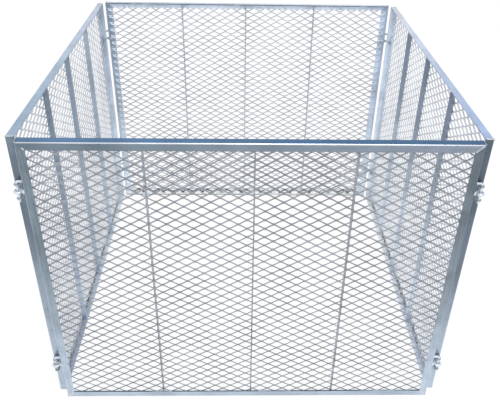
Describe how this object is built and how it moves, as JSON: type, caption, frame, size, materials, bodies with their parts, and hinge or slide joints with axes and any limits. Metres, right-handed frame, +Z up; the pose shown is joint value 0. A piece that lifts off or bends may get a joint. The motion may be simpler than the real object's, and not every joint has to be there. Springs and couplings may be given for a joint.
{
  "type": "compost bin",
  "caption": "Knock-down square garden compost bin of welded steel angle panels with expanded metal mesh, pinned together at the corners, open above and below.",
  "frame": {"origin": "on the ground, in the middle of the bin", "axes": "+Z up; the front panel faces -Y and the right side panel faces +X"},
  "size_m": [1.054, 1.054, 0.8],
  "materials": {
    "frame_steel": "hot-dip galvanised, dull spangle",
    "expanded_metal": "hot-dip galvanised, matt",
    "flat_bar": "hot-dip galvanised, dull spangle",
    "eye_bolt_zinc": "bright zinc plate",
    "bracket_zinc": "bright zinc plate",
    "pin_zinc": "bright zinc plate"
  },
  "bodies": {
    "front_panel": {"front_top_rail": "frame_steel", "front_bottom_rail": "frame_steel", "front_left_stile": "frame_steel", "front_right_stile": "frame_steel", "front_mesh": "expanded_metal", "front_bar_1": "flat_bar", "front_bar_2": "flat_bar", "front_bar_3": "flat_bar", "eye_bolt_front_left_upper": "eye_bolt_zinc", "eye_bolt_front_left_lower": "eye_bolt_zinc", "eye_bolt_front_right_upper": "eye_bolt_zinc", "eye_bolt_front_right_lower": "eye_bolt_zinc"},
    "right_panel": {"right_top_rail": "frame_steel", "right_bottom_rail": "frame_steel", "right_left_stile": "frame_steel", "right_right_stile": "frame_steel", "right_mesh": "expanded_metal", "right_bar_1": "flat_bar", "right_bar_2": "flat_bar", "right_bar_3": "flat_bar", "bracket_front_right_upper": "bracket_zinc", "bracket_front_right_lower": "bracket_zinc", "bracket_back_right_upper": "bracket_zinc", "bracket_back_right_lower": "bracket_zinc"},
    "left_panel": {"left_top_rail": "frame_steel", "left_bottom_rail": "frame_steel", "left_left_stile": "frame_steel", "left_right_stile": "frame_steel", "left_mesh": "expanded_metal", "left_bar_1": "flat_bar", "left_bar_2": "flat_bar", "left_bar_3": "flat_bar", "bracket_front_left_upper": "bracket_zinc", "bracket_front_left_lower": "bracket_zinc", "bracket_back_left_upper": "bracket_zinc", "bracket_back_left_lower": "bracket_zinc"},
    "back_panel": {"back_top_rail": "frame_steel", "back_bottom_rail": "frame_steel", "back_left_stile": "frame_steel", "back_right_stile": "frame_steel", "back_mesh": "expanded_metal", "back_bar_1": "flat_bar", "back_bar_2": "flat_bar", "back_bar_3": "flat_bar", "eye_bolt_back_left_upper": "eye_bolt_zinc", "eye_bolt_back_left_lower": "eye_bolt_zinc", "eye_bolt_back_right_upper": "eye_bolt_zinc", "eye_bolt_back_right_lower": "eye_bolt_zinc"},
    "drop_pin_front_left_upper": {"pin_front_left_upper": "pin_zinc"},
    "drop_pin_front_left_lower": {"pin_front_left_lower": "pin_zinc"},
    "drop_pin_front_right_upper": {"pin_front_right_upper": "pin_zinc"},
    "drop_pin_front_right_lower": {"pin_front_right_lower": "pin_zinc"},
    "drop_pin_back_left_upper": {"pin_back_left_upper": "pin_zinc"},
    "drop_pin_back_left_lower": {"pin_back_left_lower": "pin_zinc"},
    "drop_pin_back_right_upper": {"pin_back_right_upper": "pin_zinc"},
    "drop_pin_back_right_lower": {"pin_back_right_lower": "pin_zinc"}
  },
  "joints": [
    {"name": "right_fold", "type": "hinge", "parent": "front_panel", "child": "right_panel", "pos_m": [0.5164, -0.5164, 0.4], "axis": [0, 0, 1], "range_deg": [-27, 27]},
    {"name": "left_fold", "type": "hinge", "parent": "front_panel", "child": "left_panel", "pos_m": [-0.5164, -0.5164, 0.4], "axis": [0, 0, 1], "range_deg": [-27, 27]},
    {"name": "back_fold", "type": "hinge", "parent": "right_panel", "child": "back_panel", "pos_m": [0.5164, 0.5164, 0.4], "axis": [0, 0, 1], "range_deg": [-27, 27]},
    {"name": "pin_lift_front_left_upper", "type": "slide", "parent": "left_panel", "child": "drop_pin_front_left_upper", "axis": [0, 0, 1], "range_m": [0, 0.058]},
    {"name": "pin_lift_front_left_lower", "type": "slide", "parent": "left_panel", "child": "drop_pin_front_left_lower", "axis": [0, 0, 1], "range_m": [0, 0.058]},
    {"name": "pin_lift_front_right_upper", "type": "slide", "parent": "right_panel", "child": "drop_pin_front_right_upper", "axis": [0, 0, 1], "range_m": [0, 0.058]},
    {"name": "pin_lift_front_right_lower", "type": "slide", "parent": "right_panel", "child": "drop_pin_front_right_lower", "axis": [0, 0, 1], "range_m": [0, 0.058]},
    {"name": "pin_lift_back_left_upper", "type": "slide", "parent": "left_panel", "child": "drop_pin_back_left_upper", "axis": [0, 0, 1], "range_m": [0, 0.058]},
    {"name": "pin_lift_back_left_lower", "type": "slide", "parent": "left_panel", "child": "drop_pin_back_left_lower", "axis": [0, 0, 1], "range_m": [0, 0.058]},
    {"name": "pin_lift_back_right_upper", "type": "slide", "parent": "right_panel", "child": "drop_pin_back_right_upper", "axis": [0, 0, 1], "range_m": [0, 0.058]},
    {"name": "pin_lift_back_right_lower", "type": "slide", "parent": "right_panel", "child": "drop_pin_back_right_lower", "axis": [0, 0, 1], "range_m": [0, 0.058]}
  ],
  "couplings": [
    {"joint": "left_fold", "follows": "right_fold", "ratio": 1},
    {"joint": "back_fold", "follows": "right_fold", "ratio": -1}
  ]
}
